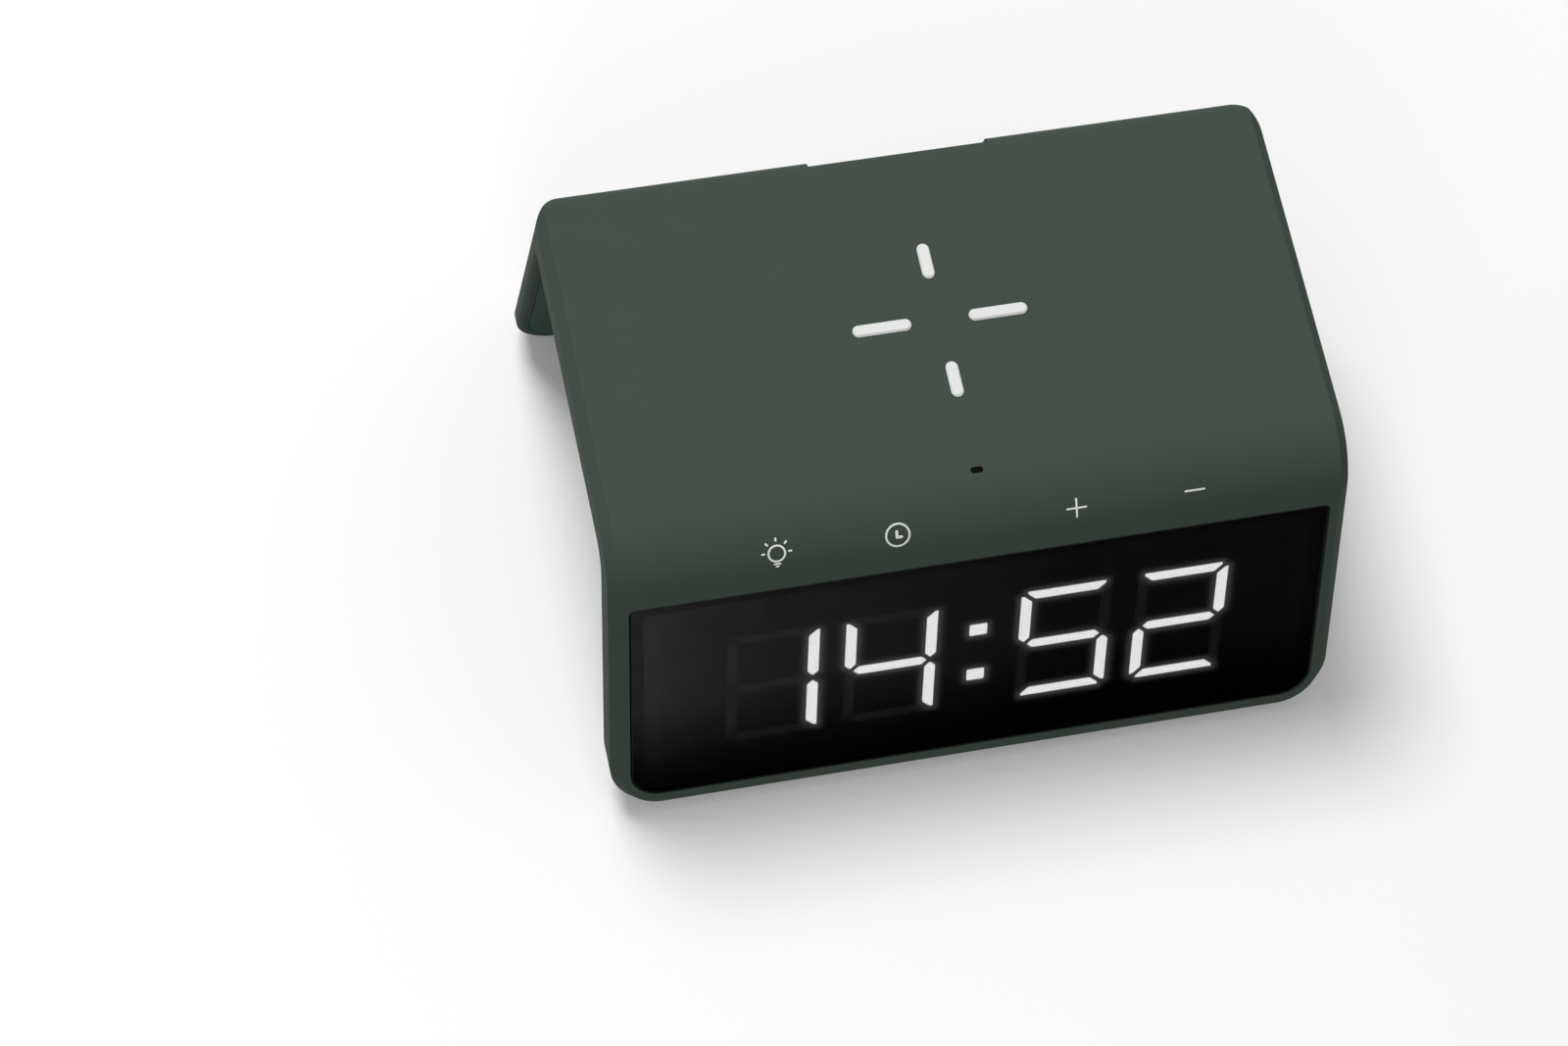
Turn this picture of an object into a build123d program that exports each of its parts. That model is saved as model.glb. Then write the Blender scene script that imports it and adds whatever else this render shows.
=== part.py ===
from build123d import *
import math
import os

os.makedirs("parts", exist_ok=True)

# Body: one bent band that makes the front, the charging plate and the rear leg
body_width = 145.0
body_height = 64.4
plate_length = 79.2
front_tilt = 20.5
leg_tilt = 9.5
band_thickness = 9.0
bend_radius = 15.0
fold_radius = 4.3
inner_fold_radius = 2.0
foot_corner_radius = 10.0
edge_chamfer = 2.0
rim_fillet = 1.2
rear_round = 7.2
rear_round_lap = 0.03
overrun = 1.0
match_gap = 0.02

# Outer shell and the cover that closes it from inside
wall = 2.2
side_wall = 2.2
bottom_wall = 2.2
cover_thickness = 2.0
cover_gap = 0.15
rib_width = 1.2
rib_length = 36.0
rib_reach_share = 0.45

# Feet: rubber strips in grooves
foot_rise = 0.8
foot_groove = 1.0
foot_width = 4.5
foot_inset = 7.5
foot_gap = 0.1

# Display lens, set in a recess of the front
bezel_width = 1.65
lens_margin = 2.3
lens_foot_margin = 2.15
lens_top_radius = 1.2
lens_recess = 0.15
lens_thickness = 1.0
lens_gap = 0.12
adhesive_thickness = 0.2
window_ledge = 3.0

# Digits of the display
digit_column = 7.98
digit_row = 13.38
digit_pitch = 23.3
digit_inner = 17.3
digit_slant = 0.6
stroke = 2.15
mitre_gap = 0.7
tip_cut = 0.6
colon_row = 6.2
colon_width = 3.5
colon_height = 3.0
colon_corner = 0.4
display_drop = 1.1
lit_letters = ["bc", "bcfg", "acdfg", "abdeg"]

# Display stack behind the lens
segment_thickness = 0.8
segment_setback = 0.1
reflector_gap = 1.2
flange_width = 1.5
flange_thickness = 1.2
reflector_corner = 2.0
led_length = 1.6
led_width = 0.8
led_height = 0.6

# Boards
board_thickness = 1.2
board_room = 1.2
board_gap = 0.6
board_corner = 1.5
board_front_reach = 6.5
display_board_inset = 0.5
chip_height = 0.9
control_chip = 9.0
power_chip = 5.0
driver_length = 12.0
driver_width = 5.0
capacitor_length = 3.2
capacitor_width = 2.0
capacitor_height = 1.6
capacitor_pitch = 5.0
capacitor_count = 4

# Ribbon between the boards, and the touch keys behind the bend
ribbon_thickness = 0.25
ribbon_width = 14.0
ribbon_inset = 18.5
ribbon_reach = 14.0
film_thickness = 0.25
glue_gap = 0.06
film_overhang = 0.8
pad_thickness = 0.2
pad_width = 13.0
pad_overhang = 0.3
key_inner = 17.4
key_outer = 40.9

# Indicator at the end of the bend
indicator_inset = 1.8
indicator_length = 2.5
indicator_width = 1.3
indicator_gap = 0.08
indicator_sink = 0.35
indicator_collar = 1.0
indicator_collar_height = 0.8
indicator_collar_depth = 0.5

# Charging coil under the middle of the plate
charge_shift = 1.1
coil_radius = 21.5
coil_bore = 10.0
coil_thickness = 1.0
ferrite_radius = 23.0
ferrite_thickness = 0.8
pad_radius = 18.0
lead_radius = 0.4
lead_spread = 2.0
lead_reach = 3.4
lead_bend = 1.0
lead_gap = 0.1

# Grip bars that mark the charging place
bar_width = 2.45
bar_rise = 0.5
bar_pocket = 0.8
bar_edge = 0.3
bar_gap = 0.15
side_bar_length = 11.6
side_bar_place = 11.45
cross_bar_length = 7.55
cross_bar_place = 12.85

# Connector bay and power inlet in the rear
bay_width = 36.0
bay_height = 12.0
bay_depth = 1.5
bay_corner = 3.0
inlet_width = 9.0
inlet_height = 3.2
inlet_length = 7.3
inlet_skin = 0.3
inlet_back = 0.4
inlet_gap = 0.15
inlet_setback = 0.2
tongue_width = 6.7
tongue_height = 0.7
tongue_setback = 1.2

# Backup cell and the quarter-turn cap that covers it
cell_radius = 10.0
cell_rear_inset = 24.0
cell_thickness = 3.2
cell_gap = 0.25
cell_ring_wall = 1.2
cell_lift = 0.05
cap_radius = 12.0
cap_gap = 0.3
cap_thickness = 1.6
neck_inset = 1.0
lug_reach = 1.4
lug_height = 0.8
lug_gap = 0.2
lug_half_angle = 14.0
notch_half_angle = 17.0
notch_turn = 45.0
well_gap = 0.5
well_wall = 1.2
well_top_gap = 0.2
coin_slot_length = 14.0
coin_slot_width = 1.8
coin_slot_depth = 0.8
contact_thickness = 0.3
contact_width = 4.0
contact_offset = 6.0
contact_reach = 3.0
contact_room = 1.0

# Buzzer in the leg
buzzer_radius = 7.0
buzzer_thickness = 4.0
buzzer_place = -35.0
buzzer_height_share = 0.38
buzzer_lead_spread = 1.5
buzzer_lead_depth = 5.6
buzzer_lead_drop = 2.6
buzzer_lead_landing = 1.4
sound_hole_radius = 0.75
sound_ring_radius = 3.6
sound_hole_count = 6

# Screws and the bosses that take them
screw_radius = 1.0
screw_head_radius = 2.0
screw_head_height = 1.0
screw_head_sink = 0.1
screw_bite = 4.5
pilot_gap = 0.05
pilot_floor = 0.3
boss_radius = 2.6
boss_inset = 1.0
screw_hole_gap = 0.2
front_screw_inset = 24.0
rear_screw_inset = 13.0
display_screw_share = 0.8
leg_screw_place = 55.0
leg_screw_share = 0.7
board_screw_inset = 4.5
board_screw_bite = 1.8
board_boss_radius = 2.3
board_head_height = 0.8
board_head_radius = 1.9

# Worked-out places of the body
front_sin = math.sin(math.radians(front_tilt))
front_cos = math.cos(math.radians(front_tilt))
leg_sin = math.sin(math.radians(leg_tilt))
leg_cos = math.cos(math.radians(leg_tilt))
top_z = foot_rise + body_height
front_length = body_height / front_cos
leg_length = body_height / leg_cos
front_reach = body_height * front_sin / front_cos - edge_chamfer * front_sin
rear_reach = plate_length + body_height * leg_sin / leg_cos - edge_chamfer * leg_sin
bend_y = (front_reach - rear_reach) / 2
fold_y = bend_y + plate_length
bend_tangent = bend_radius * math.tan(math.radians(90 - front_tilt) / 2)
half_width = body_width / 2
cavity_half_width = half_width - side_wall
cavity_bottom = foot_rise + bottom_wall
cavity_corner = foot_corner_radius - side_wall
cover_depth = band_thickness - cover_thickness
board_back = cover_depth - board_room
board_front = board_back - board_thickness
boss_x = cavity_half_width - boss_inset - boss_radius
board_half_width = boss_x - boss_radius - board_gap
ribbon_place = ribbon_inset - board_half_width
indicator_place = bend_tangent - indicator_inset
charge_center = plate_length / 2 + charge_shift
film_reach = bend_tangent + film_overhang

# Frames on the three outer faces: x across, y up or back, depth along minus z
plate_frame = Plane(origin=(0, bend_y, top_z), x_dir=(1, 0, 0), z_dir=(0, 0, 1))
front_frame = Plane(origin=(0, bend_y, top_z), x_dir=(1, 0, 0), z_dir=(0, -front_cos, front_sin))
leg_frame = Plane(origin=(0, fold_y, top_z), x_dir=(-1, 0, 0), z_dir=(0, leg_cos, leg_sin))
edge_frame = Plane(origin=(0, fold_y, top_z), x_dir=(1, 0, 0), z_dir=(0, leg_sin, -leg_cos))


def slab(frame, sketch, outer_depth, inner_depth):
    """Solid of a sketch between two depths under a frame."""
    return extrude(frame * Pos(0, 0, -inner_depth) * sketch, inner_depth - outer_depth, dir=frame.z_dir)


def front_y(z, depth):
    """Y of the front's face at a height, some depth under its outside."""
    return bend_y + (depth + front_sin * (z - top_z)) / front_cos


def leg_y(z, depth):
    """Y of the leg's face at a height, some depth under its outside."""
    return fold_y - (depth + leg_sin * (z - top_z)) / leg_cos


def band_path(depth, bottom_z):
    """Side view of the band at one depth, from the front foot to the leg foot."""
    plate_z = top_z - depth
    points = [
        (front_y(bottom_z, depth), bottom_z),
        (front_y(plate_z, depth), plate_z),
        (leg_y(plate_z, depth), plate_z),
        (leg_y(bottom_z, depth), bottom_z),
    ]
    radii = [bend_radius - depth, max(fold_radius - depth, inner_fold_radius)]
    return FilletPolyline(*points, radius=radii)


def profile_face(outer, inner):
    """Face in the side view between two paths that run the same way."""
    ends = [Line(outer @ 1, inner @ 1), Line(inner @ 0, outer @ 0)]
    return Plane.YZ * make_face(Curve() + [outer, inner] + ends)


def band(outer_depth, inner_depth, reach, bottom_z, corner_radius):
    """Bent sheet between two depths, with its four foot corners rounded."""
    face = profile_face(band_path(outer_depth, bottom_z), band_path(inner_depth, bottom_z))
    sheet = extrude(face, reach, both=True)
    mask_height = top_z - bottom_z + corner_radius
    mask = Pos(0, bottom_z + mask_height) * RectangleRounded(2 * reach, 2 * mask_height, corner_radius)
    return sheet & extrude(Plane.XZ * mask, plate_length + body_height, both=True)


def strip(outer_depth, inner_depth, reach_down, reach_back, center_x, width):
    """Thin sheet that follows the bend, from the front to the plate."""
    paths = []
    for depth in (outer_depth, inner_depth):
        plate_z = top_z - depth
        start = front_frame.from_local_coords(Vector(0, -reach_down, -depth))
        points = [(start.Y, start.Z), (front_y(plate_z, depth), plate_z), (bend_y + reach_back, plate_z)]
        paths.append(FilletPolyline(*points, radius=bend_radius - depth))
    return Pos(center_x, 0, 0) * extrude(profile_face(*paths), width / 2, both=True)


def border(faces):
    """Edges that only one of the faces has."""
    edges = [edge for face in faces for edge in face.edges()]
    return [edge for edge in edges if sum(edge.is_same(other) for other in edges) == 1]


def faces_on(solid, depth):
    """Faces of the band that lie at one depth."""
    line = Plane.YZ * band_path(depth, foot_rise)
    found = []
    for face in solid.faces():
        point = face.position_at(0.5, 0.5)
        if Vertex(0, point.Y, point.Z).distance_to(line) < match_gap:
            found.append(face)
    return found


def sector(radius, center_angle, half_angle):
    """Pie slice about the origin, longer than the radius so that it can mask a disc."""
    reach = radius / math.cos(math.radians(half_angle))
    angles = [math.radians(center_angle + side * half_angle) for side in (-1, 1)]
    points = [(reach * math.cos(angle), reach * math.sin(angle)) for angle in angles]
    return Polygon((0, 0), *points, align=None)


def boss(frame, x, y, radius, hole_radius, outer_depth, inner_depth):
    """Screw boss with a blind pilot hole, from the wall down to a depth."""
    post = slab(frame, Pos(x, y) * Circle(radius), outer_depth, inner_depth)
    return post - slab(frame, Pos(x, y) * Circle(hole_radius), outer_depth + pilot_floor, inner_depth)


def screw(frame, x, y, head_depth, head_radius, head_height, bite):
    """Screw whose head sits at a depth and whose shank points outwards."""
    head = slab(frame, Pos(x, y) * Circle(head_radius), head_depth, head_depth + head_height)
    return head + slab(frame, Pos(x, y) * Circle(screw_radius), head_depth - bite, head_depth)


def wire(plane, points):
    """Round lead along a path in a plane."""
    line = plane * FilletPolyline(*points, radius=lead_bend)
    return sweep(Plane(origin=line @ 0, z_dir=line % 0) * Circle(lead_radius), path=line)


def front_panel(reach, top, bottom, top_radius, bottom_radius):
    """Rounded panel on the front, from one distance below the bend line to another."""
    sheet = Pos(0, -(top + bottom) / 2) * Rectangle(2 * reach, bottom - top)
    sheet = fillet(sheet.vertices().group_by(Axis.Y)[0], bottom_radius)
    return fillet(sheet.vertices().group_by(Axis.Y)[-1], top_radius)


# Places of the lens and the display behind it
lens_half_width = half_width - edge_chamfer - bezel_width
lens_top = bend_tangent + lens_margin
lens_bottom = front_length - edge_chamfer - lens_foot_margin
lens_bottom_radius = foot_corner_radius - edge_chamfer - bezel_width
lens_back = lens_recess + lens_thickness
ledge_depth = lens_back + adhesive_thickness
window_half_width = lens_half_width - window_ledge
window_top = lens_top + window_ledge
window_bottom = lens_bottom - window_ledge
segment_depth = lens_back + segment_setback
display_mid = (lens_top + lens_bottom) / 2 + display_drop


def lens_outline(inset):
    """Outline of the lens, drawn in by an inset."""
    return front_panel(
        lens_half_width - inset,
        lens_top + inset,
        lens_bottom - inset,
        lens_top_radius - inset,
        lens_bottom_radius - inset,
    )


def window_outline(inset):
    """Outline of the window behind the lens, drawn in by an inset."""
    radius = lens_bottom_radius - window_ledge
    reach = window_half_width - inset
    return front_panel(reach, window_top + inset, window_bottom - inset, lens_top_radius, radius)


def mirrored(points, across, upright):
    """Points of a segment flipped across, upright or both."""
    return [(x * across, y * upright) for x, y in points]


def segment_points():
    """Corner points of the seven segments about a digit's middle."""
    half = stroke / 2
    column, row, gap = digit_column, digit_row, mitre_gap
    top_tip = column + half - gap - tip_cut
    side_tip = row + half - gap - tip_cut
    top = [
        (-top_tip, row + half),
        (top_tip, row + half),
        (top_tip, row + half - tip_cut),
        (column - half - gap, row - half),
        (-column + half + gap, row - half),
        (-top_tip, row + half - tip_cut),
    ]
    side = [
        (column + half - tip_cut, side_tip),
        (column + half, side_tip),
        (column + half, half + gap),
        (column, gap),
        (column - half, half + gap),
        (column - half, row - half - gap),
    ]
    middle = [(column - gap, 0), (column - gap - half, half), (-column + gap + half, half)]
    middle = middle + mirrored(middle, -1, -1)
    return {
        "a": top,
        "b": side,
        "c": mirrored(side, 1, -1),
        "d": mirrored(top, 1, -1),
        "e": mirrored(side, -1, -1),
        "f": mirrored(side, -1, 1),
        "g": middle,
    }


def display_windows():
    """Outlines of the lit and the dark segments on the front, colon included."""
    lean = math.tan(math.radians(digit_slant))
    places = [-digit_inner - digit_pitch, -digit_inner, digit_inner, digit_inner + digit_pitch]
    lit, dark = [], []
    for place, letters in zip(places, lit_letters):
        for letter, points in segment_points().items():
            leaned = [(place + x + y * lean, y - display_mid) for x, y in points]
            group = lit if letter in letters else dark
            group.append(Polygon(*leaned, align=None))
    for side in (1, -1):
        dot = RectangleRounded(colon_width, colon_height, colon_corner)
        lit.append(Pos(side * colon_row * lean, side * colon_row - display_mid) * dot)
    return lit, dark


lit_outlines, dark_outlines = display_windows()

# Places in the plate: inlet, boards, cell and screws
inlet_depth = board_front + board_thickness / 2
bay_floor = bay_depth + wall
board_rear = leg_y(top_z - board_front, bay_floor) - bend_y - board_gap
mouth_y = leg_y(top_z - inlet_depth + inlet_height / 2, bay_depth) - inlet_setback
inlet_frame = Plane(origin=(0, mouth_y, top_z - inlet_depth), x_dir=(-1, 0, 0), z_dir=(0, 1, 0))
lug_radius = cap_radius + lug_reach
well_radius = lug_radius + well_gap
cell_x = boss_x - boss_radius - board_gap - well_radius - well_wall
board_right = cell_x - well_radius - well_wall - board_gap
cell_y = plate_length - cell_rear_inset
cell_place = Pos(cell_x, cell_y)
cap_top = cover_depth - lug_gap - lug_height
cell_back = cap_top - cell_lift
cell_front = cell_back - cell_thickness
screw_seat = band_thickness - screw_head_sink - screw_head_height
front_screw_y = -display_screw_share * front_length
leg_screw_y = -leg_screw_share * leg_length
buzzer_y = -buzzer_height_share * leg_length
cover_screws = [(front_frame, side * boss_x, front_screw_y) for side in (-1, 1)]
cover_screws += [(leg_frame, side * leg_screw_place, leg_screw_y) for side in (-1, 1)]
for plate_y in (front_screw_inset, plate_length - rear_screw_inset):
    cover_screws += [(plate_frame, side * boss_x, plate_y) for side in (-1, 1)]
board_screw_places = []
for board_y in (film_reach + board_gap + board_boss_radius, board_rear - board_screw_inset):
    board_screw_places += [(-board_half_width + board_screw_inset, board_y)]
    board_screw_places += [(board_right - board_screw_inset, board_y)]
grip_places = []
for side in (-1, 1):
    grip_places.append((Pos(side * side_bar_place, charge_center), side_bar_length))
    grip_places.append((Pos(0, charge_center + side * cross_bar_place) * Rot(0, 0, 90), cross_bar_length))
front_foot_y = (front_y(foot_rise, edge_chamfer) + front_y(foot_rise, band_thickness - rim_fillet)) / 2
rear_foot_y = (leg_y(foot_rise, edge_chamfer) + leg_y(foot_rise, band_thickness - rim_fillet)) / 2
foot_length = body_width - 2 * foot_corner_radius - 2 * foot_inset


def rear_edge_cutter(side, inset):
    """What is cut away to round one rear edge, along the leg, for the outside drawn in by an inset."""
    radius = rear_round - inset
    center = rear_round - rear_round_lap
    reach = center + overrun
    block = Pos(half_width - center + reach / 2, center - reach / 2) * Rectangle(reach, reach)
    outline = block - Pos(half_width - center, center) * Circle(radius)
    start = edge_frame.offset(-band_thickness)
    cutter = extrude(start * outline, leg_length + 2 * band_thickness, dir=start.z_dir)
    return cutter if side > 0 else mirror(cutter, about=Plane.YZ)


def make_outer_shell():
    """Moulded shell: front bezel, plate and leg in one, open on the inside."""
    body = band(0, band_thickness, half_width, foot_rise, foot_corner_radius)
    body = chamfer(border(faces_on(body, 0)), edge_chamfer)
    body = fillet(border(faces_on(body, band_thickness)), rim_fillet)
    cavity = band(wall, band_thickness + overrun, cavity_half_width, cavity_bottom, cavity_corner)
    for side in (-1, 1):
        body -= rear_edge_cutter(side, 0)
        cavity -= rear_edge_cutter(side, wall)
    shell = body - cavity

    # Connector bay, with its own wall behind it
    backing = RectangleRounded(bay_width + 2 * wall, 2 * bay_height + 2 * wall, bay_corner)
    shell += slab(leg_frame, backing, 0, bay_floor) & body
    shell -= slab(leg_frame, RectangleRounded(bay_width, 2 * bay_height, bay_corner), -overrun, bay_depth)
    mouth = SlotOverall(inlet_width + 2 * inlet_gap, inlet_height + 2 * inlet_gap)
    shell -= slab(inlet_frame, mouth, -bay_depth, inlet_length)

    # Bosses for the cover's screws and the main board's screws
    for frame, x, y in cover_screws:
        shell += boss(frame, x, y, boss_radius, screw_radius + pilot_gap, wall, cover_depth)
    for x, y in board_screw_places:
        shell += boss(plate_frame, x, y, board_boss_radius, screw_radius + pilot_gap, wall, board_front)

    # Ring that holds the backup cell, open towards the board
    guide = Circle(cell_radius + cell_gap + cell_ring_wall) - Circle(cell_radius + cell_gap)
    shell += slab(plate_frame, cell_place * (guide - contact_opening()), wall, cell_back - cell_gap)

    # Lens recess, window, grip pockets, indicator slot and foot grooves
    shell -= slab(front_frame, lens_outline(0), -overrun, ledge_depth)
    shell -= slab(front_frame, window_outline(0), 0, wall + overrun)
    for place, length in grip_places:
        pocket = SlotOverall(length + 2 * bar_gap, bar_width + 2 * bar_gap)
        shell -= slab(plate_frame, place * pocket, -overrun, bar_pocket)
    slot = Pos(0, indicator_place) * SlotOverall(indicator_length, indicator_width)
    shell -= slab(plate_frame, slot, -overrun, wall + overrun)
    for place in (front_foot_y, rear_foot_y):
        groove = SlotOverall(foot_length + 2 * foot_gap, foot_width + 2 * foot_gap)
        shell -= extrude(Pos(0, place, foot_rise - overrun) * groove, overrun + foot_groove)
    return shell


def contact_opening():
    """Gap on the board's side of the cell for the two contacts."""
    reach = well_radius + well_wall + overrun
    low = -contact_width / 2 - contact_room
    high = contact_offset + contact_width / 2 + contact_room
    return Pos(-reach / 2, (low + high) / 2) * Rectangle(reach, high - low)


def make_inner_cover():
    """Bent cover over the whole inside, with the cell's well and its bayonet mouth."""
    reach = cavity_half_width - cover_gap
    bottom = cavity_bottom + cover_gap
    cover = band(cover_depth, band_thickness, reach, bottom, cavity_corner - cover_gap)
    ring = Circle(well_radius + well_wall) - Circle(well_radius) - contact_opening()
    cover += slab(plate_frame, cell_place * ring, wall + well_top_gap, cover_depth)
    mouth = Circle(cap_radius + cap_gap)
    for turn in (0, 180):
        notch = sector(well_radius, 90 - notch_turn + turn, notch_half_angle)
        mouth += notch & Circle(lug_radius + cap_gap)
    cover -= slab(plate_frame, cell_place * mouth, cover_depth - overrun, band_thickness + overrun)

    # Ribs that press the display board onto the reflector
    for side in (-1, 1):
        rib = Pos(side * rib_reach_share * board_half_width, -display_mid) * Rectangle(rib_width, rib_length)
        cover += slab(front_frame, rib, board_back, cover_depth)

    # Screw holes with sunk heads, and the sound holes over the buzzer
    for frame, x, y in cover_screws:
        sunk = Circle(screw_head_radius + screw_hole_gap)
        cover -= slab(frame, Pos(x, y) * sunk, screw_seat, band_thickness + overrun)
        hole = Circle(screw_radius + screw_hole_gap)
        cover -= slab(frame, Pos(x, y) * hole, cover_depth - overrun, band_thickness)
    sound = [Circle(sound_hole_radius)]
    sound += PolarLocations(sound_ring_radius, sound_hole_count) * Circle(sound_hole_radius)
    for hole in sound:
        place = Pos(-buzzer_place, buzzer_y) * hole
        cover -= slab(leg_frame, place, cover_depth - overrun, band_thickness + overrun)
    return cover


def make_display():
    """Lens, its adhesive, the reflector with its segments, the board and its lamps."""
    lens = slab(front_frame, lens_outline(lens_gap), lens_recess, lens_back)
    frame_outline = lens_outline(lens_gap) - window_outline(0)
    adhesive = slab(front_frame, frame_outline, lens_back, ledge_depth)

    flange_top = window_top - flange_width
    flange_bottom = window_bottom + flange_width
    corner = reflector_corner
    block = front_panel(
        board_half_width - reflector_gap,
        window_top + reflector_gap,
        window_bottom - reflector_gap,
        corner,
        corner,
    )
    flange = front_panel(board_half_width, flange_top, flange_bottom, corner, corner)
    reflector = slab(front_frame, block, segment_depth, board_front)
    reflector += slab(front_frame, flange, wall, wall + flange_thickness)
    for outline in lit_outlines + dark_outlines:
        reflector -= slab(front_frame, outline, segment_depth - overrun, board_front)

    segment_back = segment_depth + segment_thickness
    lit = Part() + [slab(front_frame, outline, segment_depth, segment_back) for outline in lit_outlines]
    dark = Part() + [slab(front_frame, outline, segment_depth, segment_back) for outline in dark_outlines]

    inset = display_board_inset
    sheet = front_panel(board_half_width, flange_top + inset, flange_bottom - inset, corner, corner)
    board = slab(front_frame, sheet, board_front, board_back)
    lamps = Part()
    for outline in lit_outlines + dark_outlines:
        middle = outline.center()
        box = outline.bounding_box().size
        turned = Rot(0, 0, 90) if box.Y > box.X else Rot(0, 0, 0)
        lamp = Pos(middle.X, middle.Y) * turned * Rectangle(led_length, led_width)
        lamps += slab(front_frame, lamp, board_front - led_height, board_front)
    driver = Pos(0, -display_mid) * Rectangle(driver_length, driver_width)
    return {
        "display_lens": lens,
        "lens_adhesive": adhesive,
        "segment_reflector": reflector,
        "lit_segments": lit,
        "dark_segments": dark,
        "display_board": board,
        "segment_leds": lamps,
        "display_driver": slab(front_frame, driver, board_back, board_back + chip_height),
    }


def make_touch_keys():
    """Film with four pads glued behind the bend, and the ribbon between the boards."""
    film_front = wall + glue_gap
    film_back = film_front + film_thickness
    pad_front = film_back + glue_gap
    film = strip(film_front, film_back, film_reach, film_reach, 0, 2 * key_outer + 2 * pad_width)
    opening = SlotOverall(indicator_length + 4 * indicator_collar, indicator_width + 4 * indicator_collar)
    film -= slab(plate_frame, Pos(0, indicator_place) * opening, 0, bend_radius)
    pads = Part()
    pad_reach = bend_tangent + pad_overhang
    for place in (-key_outer, -key_inner, key_inner, key_outer):
        pads += strip(pad_front, pad_front + pad_thickness, pad_reach, pad_reach, place, pad_width)
    reach = bend_tangent + ribbon_reach
    ribbon = strip(board_back, board_back + ribbon_thickness, reach, reach, ribbon_place, ribbon_width)
    return {"touch_film": film, "touch_pads": pads, "display_ribbon": ribbon}


def make_indicator():
    """Light pipe in its slot, and the lamp on the board below it."""
    place = Pos(0, indicator_place)
    lamp_top = board_front - led_height
    pipe_end = lamp_top - indicator_gap
    core = SlotOverall(indicator_length - 2 * indicator_gap, indicator_width - 2 * indicator_gap)
    pipe = slab(plate_frame, place * core, indicator_sink, pipe_end)
    wide = SlotOverall(indicator_length + 2 * indicator_collar, indicator_width + 2 * indicator_collar)
    collar_top = wall + indicator_collar_depth
    pipe += slab(plate_frame, place * wide, collar_top, collar_top + indicator_collar_height)
    lamp = slab(plate_frame, place * Rectangle(led_length, led_width), lamp_top, board_front)
    return {"indicator_pipe": pipe, "indicator_led": lamp}


def make_charger():
    """Coil under the plate, its ferrite, the foam pad under them and the two leads."""
    place = Pos(0, charge_center)
    coil_back = wall + coil_thickness
    ferrite_back = coil_back + ferrite_thickness
    coil = slab(plate_frame, place * (Circle(coil_radius) - Circle(coil_bore)), wall, coil_back)
    ferrite = slab(plate_frame, place * Circle(ferrite_radius), coil_back, ferrite_back)
    pad = slab(plate_frame, place * Circle(pad_radius), ferrite_back, board_front)
    start_x = -coil_radius - lead_gap
    lead_z = top_z - wall - coil_thickness / 2
    points = [(start_x, lead_z), (start_x - lead_reach, lead_z), (start_x - lead_reach, top_z - board_front)]
    leads = Part()
    for side in (-1, 1):
        lead_y = bend_y + charge_center + side * lead_spread
        leads += wire(Plane(origin=(0, lead_y, 0), x_dir=(1, 0, 0), z_dir=(0, -1, 0)), points)
    return {"charging_coil": coil, "ferrite_shield": ferrite, "coil_pad": pad, "coil_leads": leads}


def make_main_board():
    """Board under the plate with its chips, and the power inlet in a notch of its rear edge."""
    width = board_right + board_half_width
    length = board_rear - board_front_reach
    middle = Pos((board_right - board_half_width) / 2, board_front_reach + length / 2)
    inlet_start = mouth_y - inlet_length - bend_y
    notch_reach = board_rear - inlet_start + inlet_gap
    notch = Pos(0, board_rear - notch_reach / 2 + overrun / 2)
    notch = notch * Rectangle(inlet_width + 2 * inlet_gap, notch_reach + overrun)
    outline = middle * RectangleRounded(width, length, board_corner) - notch
    for x, y in board_screw_places:
        outline -= Pos(x, y) * Circle(screw_radius + screw_hole_gap)
    board = slab(plate_frame, outline, board_front, board_back)

    # Chips on the underside, capacitors above, beside the coil
    chips = Part()
    control = Pos(0, charge_center) * Rectangle(control_chip, control_chip)
    chips += slab(plate_frame, control, board_back, board_back + chip_height)
    for side in (-1, 1):
        power = Pos(side * (control_chip + power_chip), charge_center) * Rectangle(power_chip, power_chip)
        chips += slab(plate_frame, power, board_back, board_back + chip_height)
    for step in range(capacitor_count):
        along = charge_center + (step - (capacitor_count - 1) / 2) * capacitor_pitch
        place = Pos(-ferrite_radius - control_chip, along)
        part = place * Rectangle(capacitor_length, capacitor_width)
        chips += slab(plate_frame, part, board_front - capacitor_height, board_front)

    skin = 2 * inlet_skin
    sleeve = SlotOverall(inlet_width, inlet_height)
    bore = SlotOverall(inlet_width - skin, inlet_height - skin)
    inlet = slab(inlet_frame, sleeve, 0, inlet_length)
    inlet -= slab(inlet_frame, bore, -overrun, inlet_length - inlet_back)
    tongue_outline = Rectangle(tongue_width, tongue_height)
    tongue = slab(inlet_frame, tongue_outline, tongue_setback, inlet_length - inlet_back)
    return {"main_board": board, "board_chips": chips, "power_inlet": inlet, "inlet_tongue": tongue}


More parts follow.
